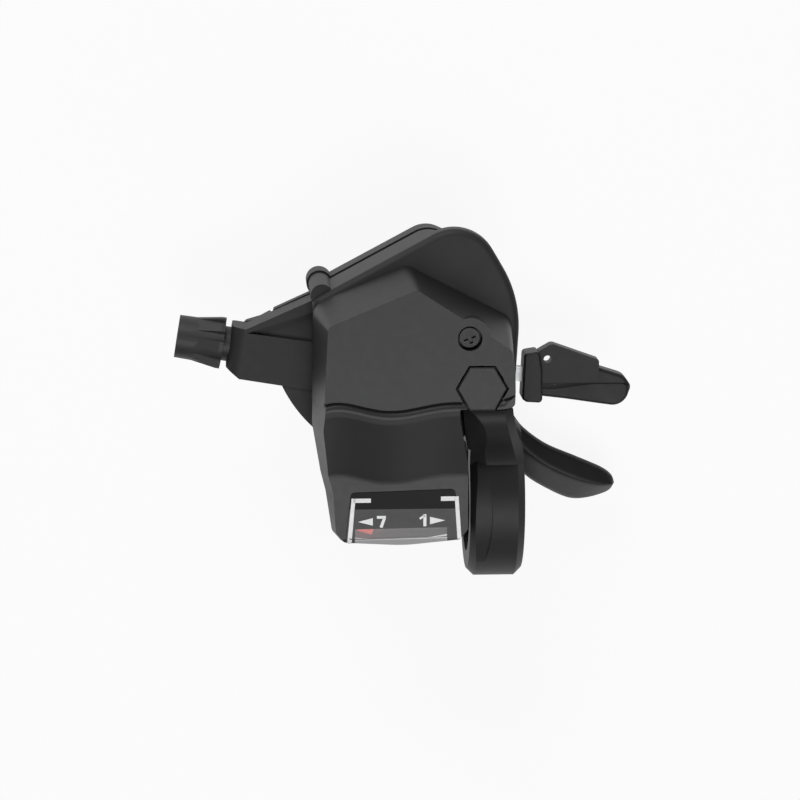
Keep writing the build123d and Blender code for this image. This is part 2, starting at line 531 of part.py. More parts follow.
def hairpin(angle, low, high):
    """Wire spring looped round a pawl's pin with two short legs."""
    pivot = around_axle(PAWL_PIVOT_R, angle)
    leg_a = around_axle(PAWL_PIVOT_R + 2.2, angle + 12.0)
    leg_b = around_axle(PAWL_PIVOT_R - 3.2, angle - 14.0)
    loop = disc(PAWL_EYE_R, pivot)
    for leg in (leg_a, leg_b):
        loop += bridge(0.3, pivot, 0.3, leg)
    return plate(loop - disc(PAWL_EYE_R - 0.5, pivot), low, high)


drive_pivot = around_axle(PAWL_PIVOT_R, DRIVE_ANGLE)
hold_pawl = pawl(HOLD_ANGLE)
drive_pawl = pawl(DRIVE_ANGLE)
hold_pawl_pin = post(PAWL_PIN_R, RATCHET_LOW - 0.8, 5.0, hold_pivot)
hold_pawl_pin += post(PAWL_EYE_R - 0.2, RATCHET_LOW - 1.4, RATCHET_LOW - 0.7, hold_pivot)
drive_pawl_pin = post(PAWL_PIN_R, DRIVE_LOW, RATCHET_HIGH + 0.8, drive_pivot)
drive_pawl_pin += post(PAWL_PIN_R + 0.7, DRIVE_HIGH, RATCHET_LOW - 1.0, drive_pivot)
drive_pawl_pin += post(PAWL_EYE_R - 0.2, RATCHET_HIGH + 0.1, RATCHET_HIGH + 0.7, drive_pivot)
hold_pawl_spring = hairpin(HOLD_ANGLE, RATCHET_LOW - 0.6, RATCHET_LOW - 0.1)
drive_pawl_spring = hairpin(DRIVE_ANGLE, RATCHET_LOW - 0.7, RATCHET_LOW - 0.2)

# Plate that carries the drive pawl, keyed on the main lever's tube
carrier = disc(LEVER_HUB_R + 1.0, AXLE) + bridge(LEVER_HUB_R, AXLE, 2.6, drive_pivot)
drive_plate = plate(carrier, DRIVE_LOW, DRIVE_HIGH) - post(TUBE_R + 0.01, DRIVE_LOW - 1, DRIVE_HIGH + 1, AXLE)
drive_plate -= post(PAWL_PIN_R + 0.01, DRIVE_LOW - 1, DRIVE_HIGH + 1, drive_pivot)

# Main lever: steel arm below the housing and a moulded thumb paddle
MAIN_END = (7.6, 7.0)
arm_plan = bridge(LEVER_HUB_R + 0.5, AXLE, 2.0, MAIN_END)
main_lever_arm = plate(arm_plan, MAIN_LOW, MAIN_HIGH) + post(TUBE_R, MAIN_HIGH, DRIVE_HIGH, AXLE)
main_lever_arm -= post(AXLE_R + RUN, MAIN_LOW - 1, DRIVE_HIGH + 1, AXLE)


def cross_section(front, rear, corners, rounding):
    """Upright section between two plan points; corners give the share along it and the height."""
    run = Vector(rear[0] - front[0], rear[1] - front[1], 0)
    plane = Plane(origin=(front[0], front[1], 0), x_dir=run, z_dir=run.cross(Vector(0, 0, 1)))
    points = [(share * run.length, height) for share, height in corners]
    return plane * make_face(FilletPolyline(*points, radius=rounding, close=True))


PADDLE = [(5.4, 13.8), (7.3, 11.2), (12.2, 7.5), (24.4, 1.95), (26.9, -0.6), (26.6, -2.7), (19.5, -6.0),
          (8.65, -0.1), (5.7, 3.4)]
PADDLE_ROUND = [0.0, 8.0, 12.0, 2.6, 1.3, 1.6, 3.5, 6.0, 0.0]
PADDLE_THICK = 2.8
# Stations along the paddle: front and rear plan points, front height, crest share and height, rear height
MAIN_STATIONS = [((4.2, 15.5), (4.8, 1.5), -14.0, 0.45, -13.5, -14.6),
                 ((10.5, 10.2), (9.0, -1.6), -14.4, 0.42, -13.4, -19.6),
                 ((16.5, 7.0), (15.0, -5.5), -14.8, 0.4, -13.6, -22.0),
                 ((22.5, 4.2), (20.5, -7.2), -15.6, 0.43, -14.4, -22.6),
                 ((28.5, 1.0), (26.5, -6.0), -17.0, 0.5, -16.2, -21.4)]


def paddle_section(front, rear, front_z, crest, crest_z, rear_z):
    """Section of the paddle: a bent plate with a soft crest."""
    corners = [(0.0, front_z), (crest, crest_z), (1.0, rear_z), (0.95, rear_z - PADDLE_THICK),
               (crest - 0.03, crest_z - PADDLE_THICK - 0.6), (0.0, front_z - PADDLE_THICK)]
    return cross_section(front, rear, corners, [0.0, 2.2, 0.0, 0.0, 1.0, 0.0])


main_paddle = loft([paddle_section(*station) for station in MAIN_STATIONS])
main_paddle &= plate(outline(PADDLE, PADDLE_ROUND), MAIN_LOW - 12, MAIN_HIGH + 4)
main_lever_paddle = main_paddle - plate(arm_plan, MAIN_LOW, MAIN_HIGH)

# Release lever: steel arm inside the housing and a moulded trigger
RELEASE_BEND = (0.0, 24.6)
RELEASE_END = (13.0, 23.2)
release_plan = disc(LEVER_HUB_R, AXLE) + bridge(4.4, AXLE, 1.6, RELEASE_BEND)
release_plan += bridge(1.6, RELEASE_BEND, 1.4, RELEASE_END)
release_plan += bridge(3.0, AXLE, 0.9, around_axle(8.8, 178))
release_lever_arm = plate(release_plan, RELEASE_LOW, RELEASE_HIGH)
release_lever_arm -= post(AXLE_R + RUN, RELEASE_LOW - 1, RELEASE_HIGH + 1, AXLE)

COLLAR = [(6.1, 19.2), (6.5, 28.4), (9.6, 28.9), (10.2, 25.0), (10.2, 18.4), (7.0, 18.6)]
TRIGGER_PLATE = [(9.4, 28.7), (12.2, 30.3), (21.7, 26.9), (21.7, 22.5), (10.0, 22.4)]
PAD = [(10.0, 24.0), (21.0, 25.4), (26.9, 23.5), (28.5, 21.2), (27.9, 18.9), (25.2, 17.1), (10.0, 19.1)]
PAD_ROUND = [0.0, 3.0, 2.6, 2.2, 2.4, 2.6, 0.0]
PAD_TOP = RELEASE_HIGH + 0.4
PAD_LOW = RELEASE_LOW - 2.4
THUMB_R = 7.5
THUMB_AT = (15.7, 0.14)
trigger = plate(outline(COLLAR, [0.6, 0.8, 0.8, 3.0, 0.8, 0.6]), RELEASE_LOW - 2.4, RELEASE_HIGH + 2.6)
trigger = chamfer(trigger.edges().group_by(Axis.Z)[-1], 0.4)
trigger += plate(outline(TRIGGER_PLATE, [0.6, 1.4, 0.5, 0.0, 0.0]), RELEASE_LOW - 0.8, RELEASE_HIGH + 1.4)
pad = plate(outline(PAD, PAD_ROUND), PAD_LOW, PAD_TOP)
pad = fillet(pad.edges().group_by(Axis.Z)[-1], 0.7)
trigger += pad - Pos(20, *THUMB_AT) * Rot(0, 90, 0) * Cylinder(THUMB_R, 60)
trigger -= post(0.8, RELEASE_LOW - 5, RELEASE_HIGH + 5, (11.3, 27.1))
release_lever_paddle = trigger - plate(release_plan, RELEASE_LOW, RELEASE_HIGH)

# Gear needle on its post, drawn at the gear with the cable let out
swing = radians(sight_angle - NEEDLE_HALF_SWING)
tail_far = NEEDLE_BACK + CRANK_R + 1.9
flag = Pos(NEEDLE_REACH - FLAG_LENGTH / 2, 0) * Rectangle(FLAG_LENGTH, FLAG_WIDTH)
needle = bridge(2.4, (0, 0), 1.0, (NEEDLE_REACH - FLAG_LENGTH, 0))
needle += bridge(2.4, (0, 0), 2.2, (-tail_far + 1.0, 0))
slot_mid = -(NEEDLE_BACK + CRANK_R) + 0.6
needle -= Pos(slot_mid, 0) * SlotOverall(5.4, 2 * (CRANK_PIN_R + 0.2))
needle -= Circle(NEEDLE_PIN_R + RUN)
needle_turn = Pos(*needle_at) * Rot(0, 0, degrees(swing))
indicator_needle = plate(needle_turn * needle, NEEDLE_LOW, NEEDLE_HIGH)
indicator_needle += plate(needle_turn * flag, NEEDLE_LOW, FLAG_TOP)

# Cable adjuster: ribbed knob, hollow screw and keyed sleeve
knob_out = KNOB_IN + KNOB_LENGTH
knob = on_barrel(KNOB_BODY_R, KNOB_IN, knob_out, KNOB_END_R)
rib_side = make_face(Polyline((KNOB_END_R - 1.5, 0), (KNOB_BIG_R, 0), (KNOB_BIG_R, 0.8), (KNOB_END_R, RIB_LENGTH),
                              (KNOB_END_R - 1.5, RIB_LENGTH), close=True))
wedge = extrude(Plane.XZ.offset(-RIB_WIDTH / 2) * rib_side, amount=RIB_WIDTH)
for rib in range(KNOB_RIBS):
    knob += barrel * Pos(0, 0, KNOB_IN) * Rot(0, 0, rib * 360 / KNOB_RIBS) * wedge
knob -= on_barrel(FERRULE_R, knob_out - FERRULE_DEPTH, knob_out + 1)
knob -= on_barrel(THREAD_R - 0.04, KNOB_IN - 1, KNOB_IN + 2.4)
knob -= on_barrel(WIRE_R, KNOB_IN, knob_out)
adjuster_knob = knob
adjuster_screw = on_barrel(THREAD_R - 0.05, 23.0, KNOB_IN + 2.4) - on_barrel(WIRE_R, 20.0, knob_out)
click_sleeve = on_barrel(SLEEVE_R, BOSS_FACE - SLEEVE_DEPTH + 1.2, KNOB_IN - RUN)
click_sleeve -= on_barrel(THREAD_R, 20.0, knob_out)

pieces = {
    "top_cover": top_cover, "display_lens": display_lens, "base_housing": base_housing, "lower_cover": lower_cover,
    "lower_cover_screws": lower_cover_screws, "cover_screw": cover_screw, "hex_plug": hex_plug,
    "clamp_band": clamp_band, "clamp_bolt": clamp_bolt, "clamp_nut": clamp_nut,
    "main_axle": main_axle, "axle_nut": axle_nut, "shaft_washers": shaft_washers, "lever_spacer": lever_spacer,
    "cable_drum": cable_drum, "ratchet_plate": ratchet_plate, "drum_return_spring": drum_return_spring,
    "hold_pawl": hold_pawl, "hold_pawl_pin": hold_pawl_pin, "hold_pawl_spring": hold_pawl_spring,
    "drive_plate": drive_plate, "drive_pawl": drive_pawl, "drive_pawl_pin": drive_pawl_pin,
    "drive_pawl_spring": drive_pawl_spring, "main_lever_arm": main_lever_arm, "main_lever_paddle": main_lever_paddle,
    "main_lever_spring": main_lever_spring, "release_lever_arm": release_lever_arm,
    "release_lever_paddle": release_lever_paddle, "release_lever_spring": release_lever_spring,
    "indicator_needle": indicator_needle, "adjuster_knob": adjuster_knob, "adjuster_screw": adjuster_screw,
    "click_sleeve": click_sleeve,
}
for name, piece in pieces.items():
    export_step(piece, f"parts/{name}.step")
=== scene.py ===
import bpy
import numpy as np
from mathutils import Matrix, Vector


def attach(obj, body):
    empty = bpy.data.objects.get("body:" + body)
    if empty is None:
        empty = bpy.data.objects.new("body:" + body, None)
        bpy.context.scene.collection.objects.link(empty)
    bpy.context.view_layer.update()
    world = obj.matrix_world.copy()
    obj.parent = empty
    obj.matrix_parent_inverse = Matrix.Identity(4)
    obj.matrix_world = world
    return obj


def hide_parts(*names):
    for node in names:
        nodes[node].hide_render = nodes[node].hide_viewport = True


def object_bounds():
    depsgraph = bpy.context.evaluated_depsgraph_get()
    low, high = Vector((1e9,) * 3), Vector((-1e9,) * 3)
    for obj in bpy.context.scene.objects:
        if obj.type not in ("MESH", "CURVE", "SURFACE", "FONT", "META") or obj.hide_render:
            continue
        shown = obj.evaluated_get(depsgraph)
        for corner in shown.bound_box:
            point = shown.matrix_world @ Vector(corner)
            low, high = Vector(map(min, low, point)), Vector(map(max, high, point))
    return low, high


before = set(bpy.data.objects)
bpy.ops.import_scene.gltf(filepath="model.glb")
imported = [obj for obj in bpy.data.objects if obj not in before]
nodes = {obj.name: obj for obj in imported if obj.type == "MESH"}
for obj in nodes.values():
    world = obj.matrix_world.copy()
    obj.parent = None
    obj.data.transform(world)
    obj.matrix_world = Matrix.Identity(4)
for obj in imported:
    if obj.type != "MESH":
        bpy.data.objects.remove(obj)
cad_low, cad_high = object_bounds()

# Lengths and places are in millimetres of the part's frame, and MM turns them into metres
MM = 0.001

# Label on the display hood: depth and height at each bend of its surface
LABEL_END = (-8.0, 15.65)
LABEL_LIP = (-5.0, 17.6)
LABEL_BEND = (0.6, 17.7)
LABEL_FOOT = (7.4, 18.4)

# Print on the label: each line's start and end in plan, and its width at both
BORDER_LINES = [
    ((-28.57, 3.27), (-29.41, -5.9), 0.75, 0.85),
    ((-28.6, 2.85), (-25.2, 2.85), 0.85, 0.85),
    ((-11.47, 3.1), (-8.76, 3.1), 0.9, 0.9),
    ((-8.39, 3.55), (-7.8, -5.0), 0.75, 0.8),
]
SEVEN_LINES = [
    ((-24.0, -0.55), (-22.25, -0.55), 0.55, 0.55),
    ((-22.5, -0.7), (-23.2, -2.6), 0.55, 0.6),
]
ONE_LINES = [
    ((-14.6, 0.0), (-14.6, -2.45), 0.6, 0.6),
    ((-14.6, -0.25), (-15.6, -0.95), 0.5, 0.4),
]
ARROW_LINES = [
    ((-24.8, -1.45), (-27.7, -1.45), 1.5, 0.02),
    ((-13.6, -1.3), (-10.65, -1.3), 1.5, 0.02),
]
PRINT_LIFT = 0.04
PRINT_DEPTH = 0.03

# Fields of the label in plan: the band, the window with its lip, and how clear the window is
BAND_LOW_Y = 1.05
WINDOW_TOP = ((-28.09, -2.95), (-10.49, -2.7))
WINDOW_LIP = ((-28.5, -5.1), (-10.1, -4.7))
WINDOW_LEFT_X = -28.3
WINDOW_RIGHT_X = -10.2
WINDOW_CLEAR = 0.72
# Width of the band of painted highlight along the window's lip
LIP_HIGHLIGHT_WIDTH = 0.22

# Floor of the channel that the needle swings in
SIGHT_SIDES = (-28.6, -9.4)
SIGHT_FRONT = -3.4
SIGHT_REAR = (-5.5, -4.9)
SIGHT_BOW = 0.85
SIGHT_Z = 13.3
SIGHT_DEPTH = 0.06

# Thumb paddle of the main lever: front edge, crest height and rear edge from the root to the tip
PADDLE_FRONT = [
    (5.5, 13.7, -14.4), (7.7, 10.9, -14.6), (12.3, 7.5, -14.8), (18.6, 4.7, -15.2),
    (23.8, 2.3, -15.9), (26.1, 0.5, -16.7), (26.8, -1.2, -17.6),
]
PADDLE_CREST_Z = [-13.7, -13.6, -13.6, -13.8, -14.5, -15.6, -17.4]
PADDLE_REAR = [
    (5.7, 4.0, -15.4), (8.6, 0.0, -18.7), (13.2, -3.3, -21.4), (17.8, -5.5, -22.4),
    (21.6, -5.5, -22.3), (25.7, -3.8, -20.8), (26.8, -1.2, -17.6),
]
PADDLE_THICK = 2.3
CREST_SHARE = 0.42
CREST_SOFT = 0.4
EDGE_SHARE = 0.09
TIP_FROM = 0.8

# Thumb ledge of the trigger: a straight outer edge that ends in an arc round the pad's tip
LEDGE_ROOT = (10.3, 19.18)
LEDGE_BEND = (24.3, 17.36)
LEDGE_TIP_R = 3.3
LEDGE_TIP_TURN = 2.1
LEDGE_BACK = ((10.3, 22.3), (26.0, 22.3))
LEDGE_ROOT_Z = -5.6
LEDGE_TIP_Z = -4.3
LEDGE_FOOT_Z = -7.6
LEDGE_ROUND = 0.7
LEDGE_RISE = (0.05, 0.75)

# Patterns of the finishes: sizes of their patches, and how far they change a shade or a roughness
CLOUD_RANGE = (0.3, 0.7)
CLOUD_SIZE = 6.0
CLOUD_DETAIL = 2.0
CLOUD_DARK = 0.94
CLOUD_LIGHT = 1.06
GLOSS_SIZE = 1.4
GLOSS_CHANGE = 0.015
GRAIN_DETAIL = 3.0
GRAIN_HEIGHT = 0.05
STREAK_SIZE = 0.8
STREAK_DETAIL = 4.0
STREAK_DARK = 0.8
STREAK_CHANGE = 0.06
INK_SIZE = 1.2
INK_THIN = 0.9
INK_ROUGHNESS = 0.5

# Painted glow: a weak light given to the needle, though it is no lamp, so that it reads through the smoky
# lens
NEEDLE_PAINTED_GLOW = (1.0, 0.12, 0.1)
NEEDLE_PAINTED_GLOW_STRENGTH = 0.5

# Finish of the lens and of the label's fields
FIELD_SIZE = 2.0
FIELD_DARK = (0.075, 0.075, 0.077)
FIELD_LIGHT = (0.085, 0.085, 0.087)
BAND_BLACK = (0.004, 0.004, 0.004)
WINDOW_SMOKE = (0.5, 0.5, 0.51)
SMOKE_PAST_LIP = (0.4, 0.4, 0.405)
# Painted highlight: the bright shade of the band along the window's lip
LIP_PAINTED_HIGHLIGHT = (0.75, 0.75, 0.76)
LENS_ROUGHNESS = 0.4
LENS_SHEEN = 0.1

# Floor under the part
FLOOR_GAP = 1.0
FLOOR_HALF = 1500.0
FLOOR_SHADE = 0.8
FLOOR_ROUGHNESS = 0.9
GLOW_SHARE = 0.9

# Lamps: place, width of the square and power in watts
LAMP_AIM = (-12.0, 20.0, 0.0)
LAMPS = [
    ("front light", (-250.0, 850.0, 500.0), 500.0, 6.0),
    ("top light", (50.0, -360.0, 1000.0), 600.0, 5.7),
    ("back light", (500.0, -900.0, 400.0), 600.0, 1.6),
]
WORLD_STRENGTH = 0.12

# Camera: above the part, leaning to the front and inboard by these degrees
LEAN_FRONT = 10.0
LEAN_SIDE = 3.0
CAMERA_TARGET = (-18.54866, 19.59247, 0.0)
CAMERA_DISTANCE = 650.0
VIEW_WIDTH = 160.0
SENSOR_WIDTH = 36.0

# Places of a mix node's colours among its sockets
MIX_FIRST = 6
MIX_SECOND = 7
MIX_RESULT = 2


# Label and channel
def sheet(x, y, z):
    """Sheet through a grid of points: x, y and z become vertices in metres, with one face in each cell."""
    rows, columns = x.shape
    vertices = np.stack([x, y, z], axis=-1).reshape(-1, 3) * MM
    first = (np.arange(rows - 1)[:, None] * columns + np.arange(columns - 1)).reshape(-1)
    faces = np.stack([first, first + columns, first + columns + 1, first + 1], axis=-1)
    return vertices, faces


def label_height(y):
    """Height of the label at a depth: straight runs between its end, its lip, its bend and its foot."""
    depths, heights = zip(LABEL_END, LABEL_LIP, LABEL_BEND, LABEL_FOOT)
    return np.interp(y, depths, heights)


def stroke(start, end, width_start, width_end, steps=12):
    """Flat ribbon of print. With u from 0 to 1 along the stroke and v from minus a half to a half across it,
    a point is start + u * (end - start) plus v times the width, square to the stroke. The width changes
    evenly from one end to the other, and the height is the label's own, plus the lift of the print."""
    start, end = np.array(start), np.array(end)
    along = (end - start) / np.linalg.norm(end - start)
    across = np.array([-along[1], along[0]])
    u, v = np.meshgrid(np.linspace(0, 1, steps + 1), np.array([-0.5, 0.5]), indexing="ij")
    width = width_start + u * (width_end - width_start)
    x = start[0] + u * (end[0] - start[0]) + v * width * across[0]
    y = start[1] + u * (end[1] - start[1]) + v * width * across[1]
    return sheet(x, y, label_height(y) + PRINT_LIFT)


def printed(lines):
    """Mark made of strokes: their vertices in one array, and each stroke's faces counted on from the last."""
    strokes = [stroke(*line) for line in lines]
    counts = np.cumsum([0] + [len(points) for points, cells in strokes])
    vertices = np.concatenate([points for points, cells in strokes])
    faces = np.concatenate([cells + count for (points, cells), count in zip(strokes, counts)])
    return vertices, faces


def sight_floor(across=24, deep=4):
    """Floor of the needle's channel. With u across the window and v from its rear to its front, x and y run
    straight between the channel's corners, and the rear edge bows out by half a sine wave."""
    u, v = np.meshgrid(np.linspace(0, 1, across + 1), np.linspace(0, 1, deep + 1), indexing="ij")
    rear = SIGHT_REAR[0] + u * (SIGHT_REAR[1] - SIGHT_REAR[0]) - SIGHT_BOW * np.sin(np.pi * u)
    x = SIGHT_SIDES[0] + u * (SIGHT_SIDES[1] - SIGHT_SIDES[0])
    y = rear + v * (SIGHT_FRONT - rear)
    return sheet(x, y, np.full_like(x, SIGHT_Z))


# Levers
def smooth_run(points, share):
    """Smooth curve through points at shares of its run from 0 to 1. Between two neighbours it is a cubic. Its
    slope at a point is half the step from the point before to the point after, or at an end its only step."""
    points = np.array(points)
    slopes = np.gradient(points, axis=0)
    place = share * (len(points) - 1)
    first = np.minimum(place.astype(int), len(points) - 2)
    t = (place - first)[:, None]
    return ((2 * t ** 3 - 3 * t ** 2 + 1) * points[first] + (t ** 3 - 2 * t ** 2 + t) * slopes[first]
            + (3 * t ** 2 - 2 * t ** 3) * points[first + 1] + (t ** 3 - t ** 2) * slopes[first + 1])


def ringed_body(rings, root, tip):
    """Closed body from rings of points: four-sided faces join each ring to the next, and fans of triangles
    close the first ring to the root point and the last ring to the tip point."""
    along, count = rings.shape[:2]
    vertices = np.concatenate([rings.reshape(-1, 3), [root, tip]]) * MM
    loop = np.arange(count)
    after = np.roll(loop, -1)
    start = np.arange(along - 1)[:, None] * count
    walls = np.stack([start + loop, start + after, start + after + count, start + loop + count], axis=-1)
    last = (along - 1) * count
    root_at = np.full(count, along * count)
    root_fan = np.stack([root_at, after, loop], axis=-1)
    tip_fan = np.stack([root_at + 1, last + loop, last + after], axis=-1)
    return vertices, walls.reshape(-1, 4).tolist() + root_fan.tolist() + tip_fan.tolist()


def paddle_form(along=56, across=24, turns=10):
    """Bent plate with round edges. With u from root to tip and s from the front edge to the rear one, the top
    is the softened lower of two straight slopes, one rising to the crest and one falling behind it. The
    section runs over the top, round the rear edge by half an ellipse, back below and round the front edge.
    Its thickness closes at the tip as a quarter ellipse, where a sine of the run sets the rings closer."""
    u = np.sin(np.linspace(0, np.pi / 2, along + 1)[:-1])
    front = smooth_run(PADDLE_FRONT, u)[:, None]
    crest_z = smooth_run(np.array(PADDLE_CREST_Z)[:, None], u)
    rear = smooth_run(PADDLE_REAR, u)[:, None]
    over = np.linspace(EDGE_SHARE, 1 - EDGE_SHARE, across + 1)
    turn = np.linspace(0, np.pi, turns + 1)[1:-1]
    rear_turn = 1 - EDGE_SHARE + EDGE_SHARE * np.sin(turn)
    front_turn = EDGE_SHARE * (1 - np.sin(turn))
    s = np.concatenate([over, rear_turn, over[::-1], front_turn])
    side = np.concatenate([np.ones_like(over), np.cos(turn), -np.ones_like(over), -np.cos(turn)])
    plan = front[..., :2] + s[None, :, None] * (rear[..., :2] - front[..., :2])
    rise = front[..., 2] + (crest_z - front[..., 2]) * s / CREST_SHARE
    fall = crest_z + (rear[..., 2] - crest_z) * (s - CREST_SHARE) / (1 - CREST_SHARE)
    top = -CREST_SOFT * np.log(np.exp(-rise / CREST_SOFT) + np.exp(-fall / CREST_SOFT))
    closing = np.clip((u - TIP_FROM) / (1 - TIP_FROM), 0, 1)
    thick = PADDLE_THICK * np.sqrt(1 - closing ** 2)[:, None]
    z = top - thick / 2 * (1 - side)
    rings = np.concatenate([plan, z[..., None]], axis=-1)
    return ringed_body(rings, rings[0].mean(axis=0), PADDLE_FRONT[-1])


def ledge_form(along=60, across=8, turns=6):
    """Ledge along the pad's outer edge. With a the length along that edge, the edge is a straight line and
    then an arc. The top runs level from a straight line at the back to the edge, rounds it by a quarter
    circle and drops to the foot. Its height rises along the edge by the smooth step 3 t squared less 2 t
    cubed."""
    root, bend = np.array(LEDGE_ROOT), np.array(LEDGE_BEND)
    straight = np.linalg.norm(bend - root)
    ahead = (bend - root) / straight
    inward = np.array([-ahead[1], ahead[0]])
    a = np.linspace(0, straight + LEDGE_TIP_R * LEDGE_TIP_TURN, along)
    turned = np.clip(a - straight, 0, None)[:, None] / LEDGE_TIP_R
    outer = root + np.minimum(a, straight)[:, None] * ahead
    outer = outer + LEDGE_TIP_R * (np.sin(turned) * ahead + (1 - np.cos(turned)) * inward)
    side = inward * np.cos(turned) - ahead * np.sin(turned)
    back = np.linspace(*LEDGE_BACK, along)
    rise = np.clip((a / a[-1] - LEDGE_RISE[0]) / (LEDGE_RISE[1] - LEDGE_RISE[0]), 0, 1)
    top = LEDGE_ROOT_Z + (LEDGE_TIP_Z - LEDGE_ROOT_Z) * (3 * rise ** 2 - 2 * rise ** 3)
    t = np.linspace(0, np.pi / 2, turns + 1)
    shoulder = outer + LEDGE_ROUND * side
    share = np.linspace(0, 1, across)[:-1, None]
    level = back[:, None] + share * (shoulder - back)[:, None]
    rounded = shoulder[:, None] - LEDGE_ROUND * np.sin(t)[:, None] * side[:, None]
    plan = np.concatenate([level, rounded, outer[:, None], back[:, None]], axis=1)
    drop = np.concatenate([np.zeros(across - 1), LEDGE_ROUND * (1 - np.cos(t))])
    foot = np.full((along, 2), LEDGE_FOOT_Z)
    z = np.concatenate([top[:, None] - drop, foot], axis=1)
    rings = np.concatenate([plan, z[..., None]], axis=-1)
    return ringed_body(rings, rings[0].mean(axis=0), rings[-1].mean(axis=0))


# Objects
def mesh_object(name, vertices, faces, material):
    """Mesh object at the origin, with its place in its mesh and one material."""
    mesh = bpy.data.meshes.new(name)
    mesh.from_pydata(vertices, [], faces)
    mesh.update()
    mesh.materials.append(material)
    made = bpy.data.objects.new(name, mesh)
    bpy.context.scene.collection.objects.link(made)
    return made


def piece(name, vertices, faces, body, material):
    """Mesh object that rides on a body."""
    made = mesh_object(name, vertices.tolist(), faces, material)
    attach(made, body)
    return made


def thin_piece(name, vertices, faces, body, material, depth):
    """Sheet that rides on a body, with a small depth, half of it on each side."""
    made = piece(name, vertices, faces.tolist(), body, material)
    skin = made.modifiers.new("print thickness", "SOLIDIFY")
    skin.thickness = depth * MM
    skin.offset = 0


# Steps of a material
def shader(name):
    """Node material with its main shader."""
    material = bpy.data.materials.new(name)
    material.use_nodes = True
    tree = material.node_tree
    return material, tree, tree.nodes["Principled BSDF"]


def part_place(tree):
    """Place on the piece in the part's own coordinates."""
    return tree.nodes.new("ShaderNodeTexCoord").outputs["Object"]


def noise(tree, place, size, detail=CLOUD_DETAIL):
    """Cloud pattern whose patches are about one size across."""
    texture = tree.nodes.new("ShaderNodeTexNoise")
    texture.inputs["Scale"].default_value = 1.0 / (size * MM)
    texture.inputs["Detail"].default_value = detail
    tree.links.new(place, texture.inputs["Vector"])
    return texture.outputs["Fac"]


def spread(tree, pattern, low=0.0, high=1.0):
    """A cloud pattern, most of which lies inside CLOUD_RANGE, carried over to the range from low to high."""
    node = tree.nodes.new("ShaderNodeMapRange")
    node.inputs["From Min"].default_value = CLOUD_RANGE[0]
    node.inputs["From Max"].default_value = CLOUD_RANGE[1]
    node.inputs["To Min"].default_value = low
    node.inputs["To Max"].default_value = high
    tree.links.new(pattern, node.inputs["Value"])
    return node.outputs["Result"]


def blend_colour(tree, share, first, second):
    """Mix of two colours by another node's value, each colour a tuple or another node's colour."""
    node = tree.nodes.new("ShaderNodeMix")
    node.data_type = "RGBA"
    tree.links.new(share, node.inputs["Factor"])
    for at, colour in ((MIX_FIRST, first), (MIX_SECOND, second)):
        if isinstance(colour, tuple):
            node.inputs[at].default_value = (*colour, 1.0)
        else:
            tree.links.new(colour, node.inputs[at])
    return node.outputs[MIX_RESULT]


def math_node(tree, kind, *values):
    """One step of arithmetic on values, each a number or another node's value."""
    node = tree.nodes.new("ShaderNodeMath")
    node.operation = kind
    for socket, value in zip(node.inputs, values):
        if isinstance(value, float):
            socket.default_value = value
        else:
            tree.links.new(value, socket)
    return node.outputs["Value"]


def grain(tree, surface, place, size, strength):
    """Fine raised texture of a mould's surface."""
    bump = tree.nodes.new("ShaderNodeBump")
    bump.inputs["Strength"].default_value = strength
    bump.inputs["Distance"].default_value = GRAIN_HEIGHT * MM
    tree.links.new(noise(tree, place, size, GRAIN_DETAIL), bump.inputs["Height"])
    tree.links.new(bump.outputs["Normal"], surface.inputs["Normal"])


def line_across(tree, x, ends):
    """Depth of a straight line of the label at a place across it: a slope times x plus the line's depth where
    x is 0, both from the line's two ends in plan."""
    (left, left_y), (right, right_y) = ends
    slope = (right_y - left_y) / (right - left)
    return math_node(tree, "MULTIPLY_ADD", x, slope, (left_y - slope * left) * MM)


# Materials
def moulded(name, shade, roughness, grain_size, grain_strength, sheen):
    """Moulded plastic: nearly one shade with faint clouds, slight changes of roughness and a fine grain."""
    material, tree, surface = shader(name)
    place = part_place(tree)
    darker = tuple(CLOUD_DARK * part for part in shade)
    lighter = tuple(CLOUD_LIGHT * part for part in shade)
    clouds = spread(tree, noise(tree, place, CLOUD_SIZE))
    tree.links.new(blend_colour(tree, clouds, darker, lighter), surface.inputs["Base Color"])
    patches = noise(tree, place, GLOSS_SIZE)
    gloss = spread(tree, patches, roughness - GLOSS_CHANGE, roughness + GLOSS_CHANGE)
    tree.links.new(gloss, surface.inputs["Roughness"])
    surface.inputs["Specular IOR Level"].default_value = sheen
    grain(tree, surface, place, grain_size, grain_strength)
    return material


def with_painted_glow(material, shade, strength):
    """The same material with a painted glow: a weak light of its own, though the piece is no lamp."""
    surface = material.node_tree.nodes["Principled BSDF"]
    surface.inputs["Emission Color"].default_value = (*shade, 1.0)
    surface.inputs["Emission Strength"].default_value = strength
    return material


def metal(name, shade, roughness, stretch):
    """Metal with faint drawn lines: clouds stretched along one direction of the part."""
    material, tree, surface = shader(name)
    lines = tree.nodes.new("ShaderNodeMapping")
    lines.inputs["Scale"].default_value = stretch
    tree.links.new(part_place(tree), lines.inputs["Vector"])
    streaks = noise(tree, lines.outputs["Vector"], STREAK_SIZE, STREAK_DETAIL)
    darker = tuple(STREAK_DARK * part for part in shade)
    tree.links.new(blend_colour(tree, spread(tree, streaks), darker, shade), surface.inputs["Base Color"])
    gloss = spread(tree, streaks, roughness - STREAK_CHANGE, roughness + STREAK_CHANGE)
    tree.links.new(gloss, surface.inputs["Roughness"])
    surface.inputs["Metallic"].default_value = 1.0
    return material


def plain_print(name, shade):
    """Screen-printed ink with faint clouds."""
    material, tree, surface = shader(name)
    clouds = spread(tree, noise(tree, part_place(tree), INK_SIZE))
    thin = tuple(INK_THIN * part for part in shade)
    tree.links.new(blend_colour(tree, clouds, thin, shade), surface.inputs["Base Color"])
    surface.inputs["Roughness"].default_value = INK_ROUGHNESS
    return material


